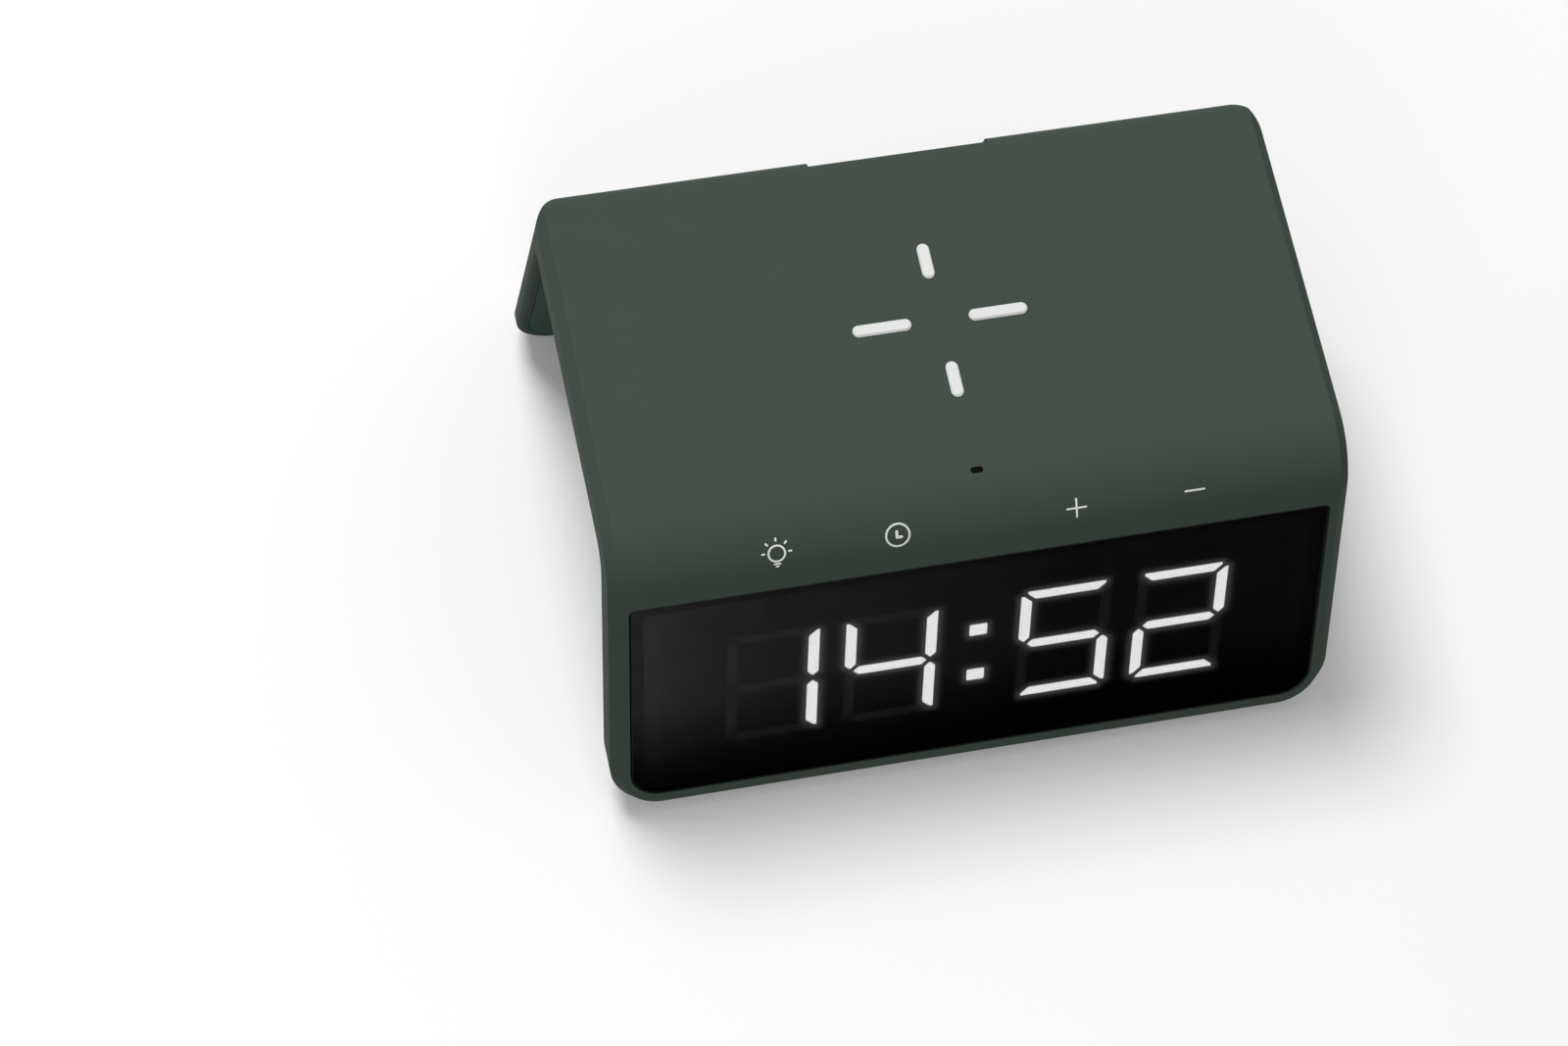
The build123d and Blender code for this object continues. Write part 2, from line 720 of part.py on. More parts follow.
def make_backup_cell():
    """Cell in its ring, two contacts that reach the board, and the cap."""
    cell = slab(plate_frame, cell_place * Circle(cell_radius), cell_front, cell_back)
    low_strip = front_strip(contact_offset, cell_front - contact_thickness, cell_x, board_front)
    blade_x = cell_x - cell_radius - cell_lift
    foot = Pos((board_right - contact_reach + blade_x) / 2, cell_y)
    foot = foot * Rectangle(blade_x - board_right + contact_reach, contact_width)
    side_strip = slab(plate_frame, foot, board_front - contact_thickness, board_front)
    blade = Pos(blade_x - contact_thickness / 2, cell_y) * Rectangle(contact_thickness, contact_width)
    side_strip += slab(plate_frame, blade, board_front - contact_thickness, cell_back)

    cap = slab(plate_frame, cell_place * Circle(cap_radius), band_thickness - cap_thickness, band_thickness)
    neck = Circle(cap_radius - neck_inset)
    cap += slab(plate_frame, cell_place * neck, cap_top, band_thickness - cap_thickness)
    for turn in (0, 180):
        lug = sector(well_radius, 90 + turn, lug_half_angle) & Circle(lug_radius)
        cap += slab(plate_frame, cell_place * lug, cap_top, cap_top + lug_height)
    coin_slot = SlotOverall(coin_slot_length, coin_slot_width)
    cap -= slab(plate_frame, cell_place * coin_slot, band_thickness - coin_slot_depth, band_thickness)
    contacts = Part() + [low_strip, side_strip]
    return {"coin_cell": cell, "cell_contacts": contacts, "battery_cap": cap}


def front_strip(offset, depth, reach_x, landing_depth):
    """Contact that lies on the cell's face and stands on the board's edge."""
    start = board_right - contact_reach
    top = Pos((start + reach_x) / 2, cell_y + offset) * Rectangle(reach_x - start, contact_width)
    piece = slab(plate_frame, top, depth, depth + contact_thickness)
    post = Pos(start + contact_thickness / 2, cell_y + offset)
    post = post * Rectangle(contact_thickness, contact_width)
    return piece + slab(plate_frame, post, depth, landing_depth)


def make_buzzer():
    """Buzzer against the cover in the leg, with leads up to the main board."""
    place = Pos(-buzzer_place, buzzer_y)
    buzzer = slab(leg_frame, place * Circle(buzzer_radius), cover_depth - buzzer_thickness, cover_depth)
    rim = buzzer_y + buzzer_radius + lead_gap
    start = leg_frame.from_local_coords(Vector(0, rim, -buzzer_lead_depth))
    landing_y = bend_y + board_rear - buzzer_lead_landing
    landing_z = top_z - board_back
    points = [(start.Y, start.Z), (landing_y, landing_z - buzzer_lead_drop), (landing_y, landing_z)]
    places = [buzzer_place + side * buzzer_lead_spread for side in (-1, 1)]
    leads = Part() + [wire(Plane.YZ.offset(x), points) for x in places]
    return {"buzzer": buzzer, "buzzer_leads": leads}


def make_grip_bars():
    """Raised bars that mark the charging place."""
    bars = Part()
    for place, length in grip_places:
        bar = slab(plate_frame, place * SlotOverall(length, bar_width), -bar_rise, bar_pocket)
        bars += chamfer(bar.faces().sort_by(Axis.Z)[-1].edges(), bar_edge)
    return bars


def make_foot(place):
    """Rubber strip that fills a groove and stands proud of it."""
    return extrude(Pos(0, place, 0) * SlotOverall(foot_length, foot_width), foot_rise + foot_groove)


def make_screws():
    """Screws of the cover and of the main board."""
    cover_set = Part()
    for frame, x, y in cover_screws:
        cover_set += screw(frame, x, y, screw_seat, screw_head_radius, screw_head_height, screw_bite)
    board_set = Part()
    for x, y in board_screw_places:
        bite = board_thickness + board_screw_bite
        head = screw(plate_frame, x, y, board_back, board_head_radius, board_head_height, bite)
        board_set += head
    return {"case_screws": cover_set, "board_screws": board_set}


pieces = {
    "outer_shell": make_outer_shell(),
    "inner_cover": make_inner_cover(),
    "grip_bars": make_grip_bars(),
    "front_foot": make_foot(front_foot_y),
    "rear_foot": make_foot(rear_foot_y),
}
pieces |= make_display()
pieces |= make_touch_keys()
pieces |= make_indicator()
pieces |= make_charger()
pieces |= make_main_board()
pieces |= make_backup_cell()
pieces |= make_buzzer()
pieces |= make_screws()

for name, piece in pieces.items():
    export_step(piece, f"parts/{name}.step")
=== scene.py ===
"""Dressed scene of a bent table clock that charges a phone on its top plate."""

import logging
import math
from dataclasses import dataclass, field
from enum import Enum
from typing import Any, Union

import bmesh
import bpy
import numpy as np
from mathutils import Matrix, Vector


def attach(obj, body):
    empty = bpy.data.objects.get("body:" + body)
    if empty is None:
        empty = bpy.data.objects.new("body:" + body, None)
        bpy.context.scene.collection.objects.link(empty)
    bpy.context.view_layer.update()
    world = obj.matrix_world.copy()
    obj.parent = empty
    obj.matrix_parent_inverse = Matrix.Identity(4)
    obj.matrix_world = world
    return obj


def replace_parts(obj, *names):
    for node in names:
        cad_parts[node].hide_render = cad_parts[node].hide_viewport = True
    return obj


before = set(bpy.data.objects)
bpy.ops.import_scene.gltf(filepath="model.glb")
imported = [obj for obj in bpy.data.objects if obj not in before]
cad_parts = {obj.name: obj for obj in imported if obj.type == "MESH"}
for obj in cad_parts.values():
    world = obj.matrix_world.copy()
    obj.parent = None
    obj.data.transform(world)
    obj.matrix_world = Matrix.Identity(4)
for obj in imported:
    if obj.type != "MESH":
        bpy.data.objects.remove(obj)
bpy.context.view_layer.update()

Array = np.ndarray
Color = tuple[float, float, float]
Pairs = tuple[tuple[float, float], ...]
Stops = list[tuple[float, Color]]
Owner = Union[bpy.types.Material, bpy.types.World]

LOG = logging.getLogger("clock")
MM = 0.001
HOUSING = "housing"
WHITE: Color = (1.0, 1.0, 1.0)
BLACK: Color = (0.0, 0.0, 0.0)
NOISE_MIDDLE = 0.5
CREASE = math.radians(35.0)
WELD_REACH = 0.0005 * MM
TINY = 1e-20


def opaque(color: Color) -> tuple[float, float, float, float]:
    """The colour with full cover, as sockets take it."""
    return (*color, 1.0)


# Shader graphs


class Link:
    """A node's output that takes part in Python expressions."""

    def __init__(self, graph: "Graph", socket: bpy.types.NodeSocket) -> None:
        """Keeps the graph and the socket."""
        self.graph = graph
        self.socket = socket

    def _math(self, operation: str, first: "Feed", second: "Feed") -> "Link":
        """Adds one Math node for two values."""
        return self.graph.node("ShaderNodeMath", {"operation": operation}, {0: first, 1: second})

    def __add__(self, other: "Feed") -> "Link":
        """Sum of two values."""
        return self._math("ADD", self, other)

    def __radd__(self, other: "Feed") -> "Link":
        """Sum with a plain number in front."""
        return self._math("ADD", other, self)

    def __sub__(self, other: "Feed") -> "Link":
        """Difference of two values."""
        return self._math("SUBTRACT", self, other)

    def __rsub__(self, other: "Feed") -> "Link":
        """Difference from a plain number."""
        return self._math("SUBTRACT", other, self)

    def __mul__(self, other: "Feed") -> "Link":
        """Product of two values."""
        return self._math("MULTIPLY", self, other)

    def __rmul__(self, other: "Feed") -> "Link":
        """Product with a plain number in front."""
        return self._math("MULTIPLY", other, self)


Feed = Union[Link, float, tuple]


class Graph:
    """Node tree of one material or world and its main shader."""

    # The Mix node's colour sockets share their names with others, so they go by number.
    MIX_SHARE, MIX_FIRST, MIX_SECOND, MIX_RESULT = 0, 6, 7, 2

    def __init__(self, owner: Owner, shader: str = "Principled BSDF") -> None:
        """Keeps the owner's tree and finds its main shader.

        Args:
            owner: The material or world.
            shader: Name of the main shader's node.
        """
        owner.use_nodes = True
        self.owner = owner
        self.tree = owner.node_tree
        self.shader = self.tree.nodes[shader]

    @classmethod
    def of_material(cls, name: str) -> "Graph":
        """Graph of a new material."""
        return cls(bpy.data.materials.new(name))

    def node(
        self,
        kind: str,
        settings: dict[str, Any] | None = None,
        inputs: dict[Any, Feed] | None = None,
        output: int | str = 0,
    ) -> Link:
        """Adds any node.

        Args:
            kind: Blender's name of the node type.
            settings: The node's own settings, set first; "stops" fills a colour ramp.
            inputs: Values or links of its input sockets.
            output: The output that is handed back.

        Returns:
            The chosen output.
        """
        made = self.tree.nodes.new(kind)
        for key, value in (settings or {}).items():
            if key == "stops":
                self._fill_ramp(made.color_ramp, value)
            else:
                setattr(made, key, value)
        self.feed(made, inputs or {})
        return Link(self, made.outputs[output])

    def feed(self, target: bpy.types.Node, inputs: dict[Any, Feed]) -> None:
        """Sets or links input sockets.

        Args:
            target: The node that is fed.
            inputs: Socket names or numbers, each with a value or a link.
        """
        for key, value in inputs.items():
            if isinstance(value, Link):
                self.tree.links.new(value.socket, target.inputs[key])
            else:
                target.inputs[key].default_value = value

    def finish(self, **inputs: Feed) -> Owner:
        """Feeds the main shader, whose socket names are written with _ for a space.

        Args:
            inputs: Values or links of its sockets.

        Returns:
            The finished material or world.
        """
        self.feed(self.shader, {key.replace("_", " "): value for key, value in inputs.items()})
        return self.owner

    def place(self) -> Link:
        """Object coordinates of the piece."""
        return self.node("ShaderNodeTexCoord", output="Object")

    def noise(self, where: Link, size: float, detail: float = 2.0) -> Link:
        """Smooth random values between 0 and 1.

        Args:
            where: Coordinates in metres.
            size: Size of one spot in metres.
            detail: Number of finer layers.

        Returns:
            The values.
        """
        inputs = {"Vector": where, "Scale": 1.0 / size, "Detail": detail}
        return self.node("ShaderNodeTexNoise", None, inputs, "Fac")

    def blend(self, share: Feed, first: Color, second: Color) -> Link:
        """Mixes two colours by a share."""
        colors = {self.MIX_FIRST: opaque(first), self.MIX_SECOND: opaque(second)}
        return self.node(
            "ShaderNodeMix", {"data_type": "RGBA"}, {self.MIX_SHARE: share, **colors}, self.MIX_RESULT
        )

    def seen(self) -> Link:
        """Sum of three ray tests: one for rays that show a surface, zero for those that carry light.

        Returns:
            The sum.
        """
        kinds = ("Is Camera Ray", "Is Glossy Ray", "Is Transmission Ray")
        camera, glossy, through = (self.node("ShaderNodeLightPath", output=kind) for kind in kinds)
        return camera + glossy + through

    def ramp(self, value: Link, low: float, high: float, stops: Stops) -> Link:
        """Colours over a range of values.

        Args:
            value: The value that is looked up.
            low: Value at the first end of the range.
            high: Value at the other end.
            stops: Places between 0 and 1 with their colours.

        Returns:
            The colour.
        """
        inputs = {"Value": value, "From Min": low, "From Max": high}
        share = self.node("ShaderNodeMapRange", None, inputs)
        return self.node("ShaderNodeValToRGB", {"stops": stops}, {"Fac": share})

    def bump(self, height: Link, depth: float) -> Link:
        """Normals of a fine relief of a depth in metres."""
        return self.node("ShaderNodeBump", None, {"Height": height, "Distance": depth})

    @staticmethod
    def _fill_ramp(ramp: bpy.types.ColorRamp, stops: Stops) -> None:
        """Puts stops into a ramp.

        Args:
            ramp: The ramp, with two stops of its own.
            stops: Places between 0 and 1 with their colours.
        """
        while len(ramp.elements) < len(stops):
            ramp.elements.new(1.0)
        for element, (place, color) in zip(ramp.elements, stops):
            element.position = place
            element.color = opaque(color)


# Finishes


@dataclass(frozen=True)
class Finish:
    """A surface's colour and gloss, as linear colour and a roughness."""

    name: str
    color: Color
    roughness: float
    specular: float = 0.5

    def shade(self, share: float) -> Color:
        """The colour made lighter or darker by a share."""
        return tuple(min(1.0, part * share) for part in self.color)

    def gloss(self, value: Link, spread: float) -> Link:
        """Roughness that a value between 0 and 1 moves by a spread about the finish's own."""
        return (value - NOISE_MIDDLE) * spread + self.roughness

    def material(self) -> bpy.types.Material:
        """The material of this finish."""
        raise NotImplementedError


@dataclass(frozen=True)
class Moulding(Finish):
    """Moulded plastic or rubber with a fine spark-eroded grain."""

    grain: float = 0.16 * MM
    grain_detail: float = 3.0
    relief: float = 0.012 * MM
    cloud: float = 14.0 * MM
    mottle: float = 0.05
    spread: float = 0.10

    def material(self) -> bpy.types.Material:
        """Grain in the relief and the gloss, faint clouds in the colour.

        Returns:
            The material.
        """
        graph = Graph.of_material(self.name)
        where = graph.place()
        grain = graph.noise(where, self.grain, self.grain_detail)
        cloud = graph.noise(where, self.cloud)
        tint = graph.blend(cloud, self.shade(1.0 - self.mottle), self.shade(1.0 + self.mottle))
        return graph.finish(
            Base_Color=tint,
            Roughness=self.gloss(grain, self.spread),
            Normal=graph.bump(grain, self.relief),
            Specular_IOR_Level=self.specular,
        )


@dataclass(frozen=True)
class DarkLens(Finish):
    """Smoked display sheet whose gloss fades along it and towards its foot, a painted reflection of
    the lit floor and the clock's shadow.

    The two curves pair a share of the way, left to right or foot to head, with a level of gloss.
    """

    alpha: float = 0.25
    coat_ior: float = 1.85
    smudge: float = 20.0 * MM
    mottle: float = 0.2
    spread: float = 0.06
    half_width: float = 68.7 * MM
    foot: float = 4.8 * MM
    head: float = 53.2 * MM
    along: Pairs = ((0.0, 0.92), (0.1, 0.60), (0.2, 0.43), (0.35, 0.33), (0.6, 0.145), (1.0, 0.11))
    painted_reflection_upwards: Pairs = ((0.0, 0.03), (0.12, 0.08), (0.3, 0.31), (0.5, 0.64), (0.75, 0.66), (1.0, 0.66))

    @staticmethod
    def greys(levels: Pairs) -> Stops:
        """Grey stops from places and levels."""
        return [(place, (level, level, level)) for place, level in levels]

    def material(self) -> bpy.types.Material:
        """Deep black under a gloss whose weight, a painted reflection, is one curve along the sheet
        times one up it.

        Returns:
            The material.
        """
        graph = Graph.of_material(self.name)
        where = graph.place()
        cloud = graph.noise(where, self.smudge)
        x, z = (graph.node("ShaderNodeSeparateXYZ", None, {0: where}, axis) for axis in "XZ")
        # Painted reflection: the gloss weight is stronger at the left and higher up, standing in for
        # the lit floor and the clock's shadow seen in the lens.
        painted_reflection_across = graph.ramp(x, -self.half_width, self.half_width, self.greys(self.along))
        upright = graph.ramp(z, self.foot, self.head, self.greys(self.painted_reflection_upwards))
        dark, pale = self.shade(1.0 - self.mottle), self.shade(1.0 + self.mottle)
        return graph.finish(
            Base_Color=graph.blend(cloud, dark, pale),
            Roughness=self.gloss(cloud, self.spread),
            Alpha=self.alpha,
            Specular_IOR_Level=self.specular,
            Coat_Weight=painted_reflection_across * upright,
            Coat_IOR=self.coat_ior,
            Coat_Roughness=self.roughness,
        )


@dataclass(frozen=True)
class Glowing(Finish):
    """Diffuser that is lit from behind."""

    strength: float = 1.67
    cloud: float = 6.0 * MM
    unevenness: float = 0.04
    body_share: float = 0.25

    def material(self) -> bpy.types.Material:
        """Even white light with a soft unevenness.

        Returns:
            The material.
        """
        graph = Graph.of_material(self.name)
        cloud = graph.noise(graph.place(), self.cloud)
        tint = graph.blend(cloud, self.shade(1.0 - self.unevenness), self.shade(1.0))
        return graph.finish(
            Base_Color=opaque(self.shade(self.body_share)),
            Roughness=self.roughness,
            Specular_IOR_Level=self.specular,
            Emission_Color=tint,
            Emission_Strength=self.strength,
        )


@dataclass(frozen=True)
class Haze(Finish):
    """Light that spreads in the sheet round the lit segments."""

    attribute: str = "glow"
    strength: float = 0.28

    def material(self) -> bpy.types.Material:
        """White light whose cover comes from the piece's own values.

        Returns:
            The material.
        """
        graph = Graph.of_material(self.name)
        glow = graph.node("ShaderNodeAttribute", {"attribute_name": self.attribute}, None, "Fac")
        return graph.finish(
            Base_Color=opaque(BLACK),
            Roughness=1.0,
            Specular_IOR_Level=0.0,
            Emission_Color=opaque(self.color),
            Emission_Strength=self.strength,
            Alpha=glow,
        )


@dataclass(frozen=True)
class Metal(Finish):
    """Bare metal with fine drawn lines along one direction."""

    line: float = 0.05 * MM
    stretch: tuple[float, float, float] = (1.0, 0.08, 1.0)
    detail: float = 3.0
    dark: float = 0.85
    bright: float = 1.08
    spread: float = 0.16

    def material(self) -> bpy.types.Material:
        """Drawn lines in the gloss and a faint change of colour.

        Returns:
            The material.
        """
        graph = Graph.of_material(self.name)
        inputs = {"Vector": graph.place(), "Scale": self.stretch}
        lines = graph.noise(graph.node("ShaderNodeMapping", None, inputs), self.line, self.detail)
        return graph.finish(
            Base_Color=graph.blend(lines, self.shade(self.dark), self.shade(self.bright)),
            Roughness=self.gloss(lines, self.spread),
            Metallic=1.0,
        )


@dataclass(frozen=True)
class BoardMask(Finish):
    """Solder mask over copper tracks."""

    track: Color = (0.06, 0.22, 0.10)
    pitch: float = 1.2 * MM
    track_share: float = 0.06
    relief: float = 0.01 * MM

    def material(self) -> bpy.types.Material:
        """Paler tracks under the mask, in a small grid.

        Returns:
            The material.
        """
        graph = Graph.of_material(self.name)
        inputs = {
            "Vector": graph.place(),
            "Scale": 1.0 / self.pitch,
            "Mortar Size": self.track_share,
        }
        tracks = graph.node("ShaderNodeTexBrick", None, inputs, "Fac")
        return graph.finish(
            Base_Color=graph.blend(tracks, self.color, self.track),
            Roughness=self.roughness,
            Normal=graph.bump(tracks, self.relief),
        )


class Look(Enum):
    """Every finish on the clock."""

    SHELL = Moulding("soft_green_shell", (0.057, 0.075, 0.062), 0.62, 0.04)
    COVER = Moulding("soft_green_cover", (0.052, 0.088, 0.070), 0.66, 0.06)
    LENS = DarkLens("smoked_lens", (0.001, 0.001, 0.001), 0.12, 0.0)
    RIM = Moulding("polished_lens_rim", (0.004, 0.004, 0.004), 0.3, 0.12)
    LIT = Glowing("lit_diffuser", (1.0, 1.0, 0.99), 0.5, 0.0)
    UNLIT = Moulding("unlit_diffuser", (0.025, 0.025, 0.025), 0.9, 0.0)
    WELLS = Moulding("black_reflector", (0.0015, 0.0015, 0.0015), 0.9, 0.0)
    HAZE = Haze("light_haze", (1.0, 1.0, 1.0), 1.0)
    PRINT = Moulding("white_print", (0.86, 0.87, 0.85), 0.55, 0.2, mottle=0.02)
    GRIP = Moulding(
        "white_grip", (0.76, 0.77, 0.76), 0.6, 0.2, grain=0.25 * MM, relief=0.02 * MM, mottle=0.02
    )
    FOOT = Moulding("black_foot", (0.02, 0.02, 0.02), 0.8, 0.3, grain=0.4 * MM, relief=0.05 * MM)
    BLACK = Moulding("black_moulding", (0.006, 0.006, 0.006), 0.6, 0.2)
    PIPE = Moulding("smoked_pipe", (0.003, 0.003, 0.003), 0.6, 0.02)
    TAPE = Moulding("black_tape", (0.002, 0.002, 0.002), 0.9, 0.0)
    FOAM = Moulding("grey_foam", (0.05, 0.05, 0.05), 0.95, 0.1, grain=0.5 * MM, relief=0.2 * MM)
    FERRITE = Moulding("dark_ferrite", (0.03, 0.03, 0.032), 0.5, 0.4)
    LAMP = Moulding("lamp_package", (0.8, 0.75, 0.5), 0.4, 0.5)
    CHIP = Moulding("chip_package", (0.015, 0.015, 0.016), 0.5, 0.4)
    LEAD = Moulding("red_lead", (0.35, 0.03, 0.03), 0.5, 0.4)
    FILM = Moulding("amber_film", (0.40, 0.20, 0.04), 0.35, 0.5)
    BOARD = BoardMask("green_board", (0.02, 0.12, 0.05), 0.35)
    COPPER = Metal("bare_copper", (0.75, 0.38, 0.22), 0.35)
    STEEL = Metal("plain_steel", (0.55, 0.55, 0.56), 0.32)
    GOLD = Metal("gold_contact", (0.85, 0.62, 0.25), 0.28)


NODE_LOOKS = {
    "outer_shell": Look.SHELL,
    "inner_cover": Look.COVER,
    "battery_cap": Look.COVER,
    "grip_bars": Look.GRIP,
    "front_foot": Look.FOOT,
    "rear_foot": Look.FOOT,
    "lens_adhesive": Look.TAPE,
    "segment_reflector": Look.WELLS,
    "lit_segments": Look.LIT,
    "dark_segments": Look.UNLIT,
    "display_board": Look.BOARD,
    "segment_leds": Look.LAMP,
    "display_driver": Look.CHIP,
    "touch_film": Look.FILM,
    "touch_pads": Look.COPPER,
    "display_ribbon": Look.FILM,
    "indicator_pipe": Look.PIPE,
    "indicator_led": Look.LAMP,
    "charging_coil": Look.COPPER,
    "ferrite_shield": Look.FERRITE,
    "coil_pad": Look.FOAM,
    "coil_leads": Look.LEAD,
    "main_board": Look.BOARD,
    "board_chips": Look.CHIP,
    "power_inlet": Look.STEEL,
    "inlet_tongue": Look.BLACK,
    "coin_cell": Look.STEEL,
    "cell_contacts": Look.STEEL,
    "buzzer": Look.BLACK,
    "buzzer_leads": Look.LEAD,
    "board_screws": Look.STEEL,
}


@dataclass
class Dresser:
    """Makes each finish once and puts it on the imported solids."""

    made: dict[Look, bpy.types.Material] = field(default_factory=dict)

    def material(self, look: Look) -> bpy.types.Material:
        """The material of a finish, made on first use.

        Args:
            look: The finish.

        Returns:
            Its material.
        """
        if look not in self.made:
            self.made[look] = look.value.material()
        return self.made[look]

    def dress_nodes(self) -> None:
        """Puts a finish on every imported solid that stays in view."""
        for name, look in NODE_LOOKS.items():
            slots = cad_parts[name].data.materials
            slots.clear()
            slots.append(self.material(look))
            LOG.info("dressed %s with %s", name, look.value.name)


# Meshes from arrays


@dataclass
class Piece:
    """A new piece that is built from grids of points."""

    name: str
    body: str
    slot: str
    look: Look
    grids: list[tuple[Array, bool, bool]] = field(default_factory=list)
    caps: list[Array] = field(default_factory=list)
    values: dict[str, Array] = field(default_factory=dict)

    def add_grid(
        self, points: Array, close_rows: bool = False, close_columns: bool = False
    ) -> None:
        """Adds a surface given as rows and columns of points.

        Args:
            points: Array of rows, columns and coordinates in metres.
            close_rows: Whether the last row joins the first.
            close_columns: Whether the last column joins the first.
        """
        self.grids.append((points, close_rows, close_columns))

    def add_cap(self, ring: Array) -> None:
        """Adds one flat face inside a ring of points."""
        self.caps.append(ring)

    @staticmethod
    def quads(rows: int, columns: int, close_rows: bool, close_columns: bool) -> Array:
        """Corners of a grid's quads: a point, the next in its row and the same two in the next row.

        Args:
            rows: Number of rows.
            columns: Number of columns.
            close_rows: Whether the last row joins the first.
            close_columns: Whether the last column joins the first.

        Returns:
            Four point numbers for each quad.
        """
        first = np.arange(rows if close_rows else rows - 1)[:, None]
        second = np.arange(columns if close_columns else columns - 1)[None, :]
        next_first, next_second = (first + 1) % rows, (second + 1) % columns
        corners = [
            first * columns + second,
            first * columns + next_second,
            next_first * columns + next_second,
            next_first * columns + second,
        ]
        return np.stack(corners, axis=-1).reshape(-1, 4)

    def build(self, dresser: Dresser, weld: bool = True) -> bpy.types.Object:
        """Makes the object, dresses it and lets it ride on its body.

        Args:
            dresser: Source of the material.
            weld: Whether points in one place are merged and the faces turned outwards.

        Returns:
            The finished object.
        """
        points, faces, start = [], [], 0
        for grid, close_rows, close_columns in self.grids:
            rows, columns = grid.shape[:2]
            points.append(grid.reshape(-1, 3))
            faces += (self.quads(rows, columns, close_rows, close_columns) + start).tolist()
            start += rows * columns
        for ring in self.caps:
            points.append(ring)
            faces.append((np.arange(len(ring)) + start).tolist())
            start += len(ring)
        mesh = bpy.data.meshes.new(self.name)
        mesh.from_pydata(np.concatenate(points).tolist(), [], faces)
        for key, values in self.values.items():
            attribute = mesh.attributes.new(key, "FLOAT", "POINT")
            attribute.data.foreach_set("value", values.astype(np.float32))
        if weld:
            self._weld(mesh)
        mesh.shade_smooth()
        mesh.set_sharp_from_angle(angle=CREASE)
        mesh.materials.append(dresser.material(self.look))
        made = bpy.data.objects.new(self.name, mesh)
        bpy.context.scene.collection.objects.link(made)
        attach(made, self.body)
        LOG.info("built %s on %s with %d faces", self.name, self.body, len(mesh.polygons))
        return made

    @staticmethod
    def _weld(mesh: bpy.types.Mesh) -> None:
        """Merges points that share a place and turns all faces outwards.

        Args:
            mesh: The mesh that is changed.
        """
        work = bmesh.new()
        work.from_mesh(mesh)
        bmesh.ops.remove_doubles(work, verts=work.verts, dist=WELD_REACH)
        bmesh.ops.recalc_face_normals(work, faces=work.faces)
        work.to_mesh(mesh)
        work.free()


# The body's faces


@dataclass(frozen=True)
class BentBody:
    """Side view of the bent body, as the solids have it."""

    bend_y: float = -33.1345 * MM
    fold_y: float = 46.0655 * MM
    top_z: float = 65.2 * MM
    bend_radius: float = 15.0 * MM
    front_tilt: float = math.radians(20.5)
    leg_tilt: float = math.radians(9.5)

    @property
    def bend_center(self) -> tuple[float, float]:
        """Y and Z of the bend's axis."""
        tangent = self.bend_radius * math.tan((math.pi / 2 - self.front_tilt) / 2)
        return self.bend_y + tangent, self.top_z - self.bend_radius

    def on_bend(self, across: Array, angle: Array, lift: Array) -> Array:
        """Points on the bend: a circle about its axis, with the lift added to the radius.

        Args:
            across: X in metres.
            angle: Angle from straight up towards the front, in radians.
            lift: Height over the surface in metres.

        Returns:
            Points in the shape of the three arrays.
        """
        center_y, center_z = self.bend_center
        reach = self.bend_radius + lift
        parts = (across, center_y - reach * np.sin(angle), center_z + reach * np.cos(angle))
        return np.stack(np.broadcast_arrays(*parts), axis=-1)

    def on_front(self, across: Array, down: Array, depth: Array) -> Array:
        """Points under the front: down runs along it from the bend line, depth goes into the body.

        Args:
            across: X in metres.
            down: Distance down the front in metres.
            depth: Depth under the front's outside in metres.

        Returns:
            Points in the shape of the three arrays.
        """
        sine, cosine = math.sin(self.front_tilt), math.cos(self.front_tilt)
        parts = (
            across,
            self.bend_y - down * sine + depth * cosine,
            self.top_z - down * cosine - depth * sine,
        )
        return np.stack(np.broadcast_arrays(*parts), axis=-1)

    def to_front(self, points: Array) -> Array:
        """Places on the front: X, and the way from the bend line as a product with the front's slope.

        Args:
            points: Points near the front, in metres.

        Returns:
            X and the distance down the front.
        """
        sine, cosine = math.sin(self.front_tilt), math.cos(self.front_tilt)
        down = -(points[..., 1] - self.bend_y) * sine - (points[..., 2] - self.top_z) * cosine
        return np.stack([points[..., 0], down], axis=-1)

    def face_frame(self, face: "Face") -> tuple[Array, Array]:
        """Frame of an outer face, turned by the tilt of that face.

        Args:
            face: The face.

        Returns:
            Its origin, and its axes across, along and outwards as rows.
        """
        front = (math.sin(self.front_tilt), math.cos(self.front_tilt))
        leg = (math.sin(self.leg_tilt), math.cos(self.leg_tilt))
        if face is Face.FRONT:
            axes = [(1, 0, 0), (0, front[0], front[1]), (0, -front[1], front[0])]
            return np.array([0, self.bend_y, self.top_z]), np.array(axes, float)
        if face is Face.LEG:
            axes = [(-1, 0, 0), (0, -leg[0], leg[1]), (0, leg[1], leg[0])]
            return np.array([0, self.fold_y, self.top_z]), np.array(axes, float)
        return np.array([0, self.bend_y, self.top_z]), np.eye(3)


class Face(Enum):
    """The three outer faces of the body."""

    FRONT = "front"
    PLATE = "plate"
    LEG = "leg"


# Printed marks over the touch keys


